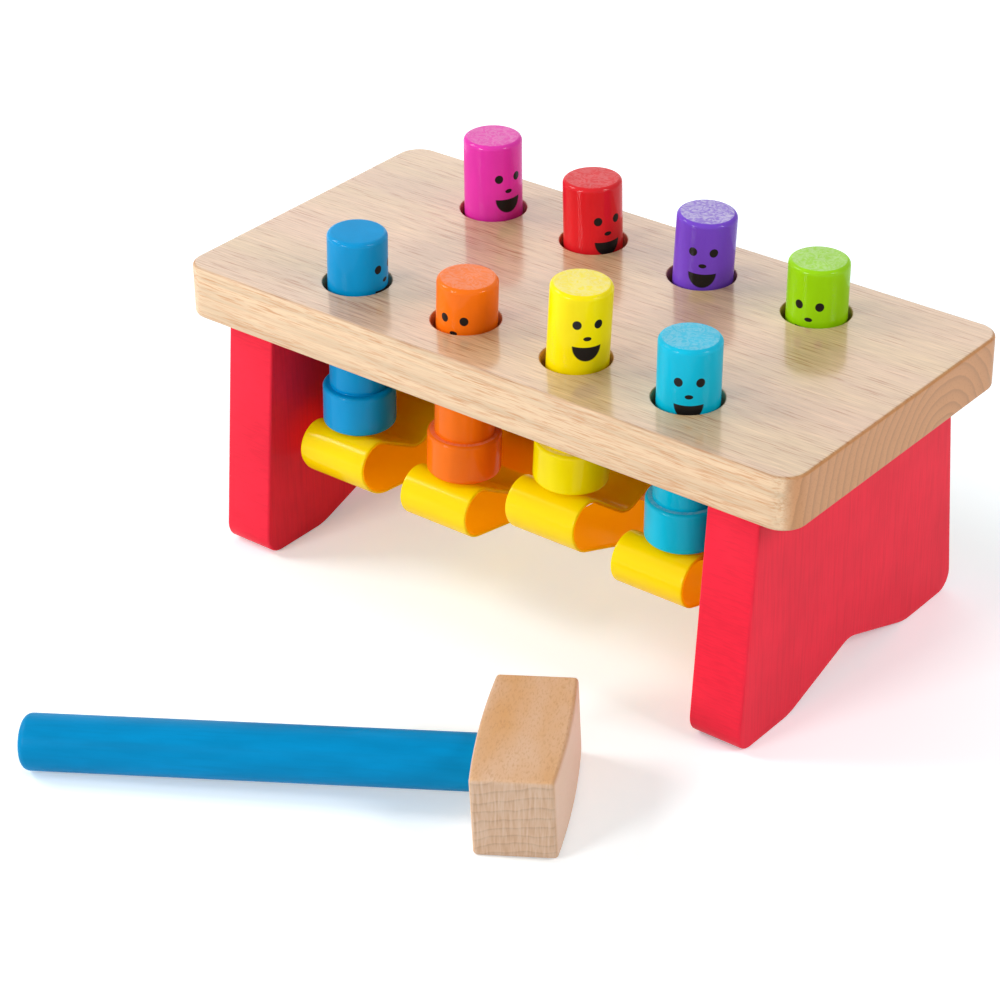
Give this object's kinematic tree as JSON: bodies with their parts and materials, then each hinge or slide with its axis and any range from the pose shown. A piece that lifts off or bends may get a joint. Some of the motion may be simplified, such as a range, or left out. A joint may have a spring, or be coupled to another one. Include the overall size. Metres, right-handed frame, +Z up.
{
  "type": "peg pounding bench",
  "caption": "Wooden pounding bench toy: painted pegs stand in pairs on springy loops that rock on a rod, so driving one down lifts its partner; a wooden mallet lies beside it.",
  "frame": {"origin": "on the floor, in the middle of the space that the bench and its mallet take together", "axes": "+X along the bench to the right, -Y towards the side where the mallet lies, +Z up"},
  "size_m": [0.256, 0.2825, 0.1363],
  "materials": {
    "lacquered_wood": "clear satin lacquer",
    "red_paint": "satin enamel over wood",
    "dowel_wood": "bare",
    "rod_wood": "bare",
    "yellow_plastic": "gloss",
    "blue_paint": "gloss enamel",
    "orange_paint": "gloss enamel",
    "yellow_paint": "gloss enamel",
    "cyan_paint": "gloss enamel",
    "magenta_paint": "gloss enamel",
    "crimson_paint": "gloss enamel",
    "purple_paint": "gloss enamel",
    "green_paint": "gloss enamel",
    "beech": "clear satin lacquer"
  },
  "bodies": {
    "bench": {"bench_top": "lacquered_wood", "left_leg": "red_paint", "right_leg": "red_paint", "left_leg_dowels": "dowel_wood", "right_leg_dowels": "dowel_wood", "loop_rod": "rod_wood"},
    "loop_1": {"flex_loop_1": "yellow_plastic"},
    "loop_2": {"flex_loop_2": "yellow_plastic"},
    "loop_3": {"flex_loop_3": "yellow_plastic"},
    "loop_4": {"flex_loop_4": "yellow_plastic"},
    "blue_peg": {"blue_peg": "blue_paint"},
    "magenta_peg": {"magenta_peg": "magenta_paint"},
    "orange_peg": {"orange_peg": "orange_paint"},
    "red_peg": {"red_peg": "crimson_paint"},
    "yellow_peg": {"yellow_peg": "yellow_paint"},
    "purple_peg": {"purple_peg": "purple_paint"},
    "cyan_peg": {"cyan_peg": "cyan_paint"},
    "green_peg": {"green_peg": "green_paint"},
    "mallet": {"mallet_head": "beech", "mallet_handle": "blue_paint"}
  },
  "joints": [
    {"name": "loop_1_rock", "type": "hinge", "parent": "bench", "child": "loop_1", "pos_m": [-0.07014, 0.07564, 0.045], "axis": [-1, 0, 0], "range_deg": [-13.9, 25]},
    {"name": "loop_2_rock", "type": "hinge", "parent": "bench", "child": "loop_2", "pos_m": [-0.02436, 0.07564, 0.045], "axis": [-1, 0, 0], "range_deg": [-18.2, 28.2]},
    {"name": "loop_3_rock", "type": "hinge", "parent": "bench", "child": "loop_3", "pos_m": [0.0224, 0.07564, 0.045], "axis": [-1, 0, 0], "range_deg": [-17.8, 12.9]},
    {"name": "loop_4_rock", "type": "hinge", "parent": "bench", "child": "loop_4", "pos_m": [0.06692, 0.07564, 0.045], "axis": [-1, 0, 0], "range_deg": [-24.3, 21.7]},
    {"name": "blue_peg_slide", "type": "slide", "parent": "bench", "child": "blue_peg", "axis": [0.0314, 0, 0.9995], "range_m": [-0.01112, 0.01999]},
    {"name": "magenta_peg_slide", "type": "slide", "parent": "bench", "child": "magenta_peg", "axis": [0.0052, 0, 1], "range_m": [-0.01981, 0.01102]},
    {"name": "orange_peg_slide", "type": "slide", "parent": "bench", "child": "orange_peg", "axis": [0.0471, 0, 0.9989], "range_m": [-0.01433, 0.0222]},
    {"name": "red_peg_slide", "type": "slide", "parent": "bench", "child": "red_peg", "axis": [-0.0157, 0, 0.9999], "range_m": [-0.02235, 0.01443]},
    {"name": "yellow_peg_slide", "type": "slide", "parent": "bench", "child": "yellow_peg", "axis": [0.0645, 0, 0.9979], "range_m": [-0.0142, 0.01029]},
    {"name": "purple_peg_slide", "type": "slide", "parent": "bench", "child": "purple_peg", "axis": [0.0558, 0, 0.9984], "range_m": [-0.01025, 0.01414]},
    {"name": "cyan_peg_slide", "type": "slide", "parent": "bench", "child": "cyan_peg", "axis": [0.0209, 0, 0.9998], "range_m": [-0.01922, 0.01716]},
    {"name": "green_peg_slide", "type": "slide", "parent": "bench", "child": "green_peg", "axis": [0.0157, 0, 0.9999], "range_m": [-0.01709, 0.01913]},
    {"name": "mallet_lift", "type": "slide", "parent": "bench", "child": "mallet", "axis": [0, 0, 1], "range_m": [0, 0.1]}
  ],
  "couplings": [
    {"joint": "blue_peg_slide", "follows": "loop_1_rock", "m_per_rad": 0.0458},
    {"joint": "magenta_peg_slide", "follows": "loop_1_rock", "m_per_rad": -0.0454},
    {"joint": "orange_peg_slide", "follows": "loop_2_rock", "m_per_rad": 0.0451},
    {"joint": "red_peg_slide", "follows": "loop_2_rock", "m_per_rad": -0.0454},
    {"joint": "yellow_peg_slide", "follows": "loop_3_rock", "m_per_rad": 0.0457},
    {"joint": "purple_peg_slide", "follows": "loop_3_rock", "m_per_rad": -0.0455},
    {"joint": "cyan_peg_slide", "follows": "loop_4_rock", "m_per_rad": 0.0453},
    {"joint": "green_peg_slide", "follows": "loop_4_rock", "m_per_rad": -0.0451}
  ]
}
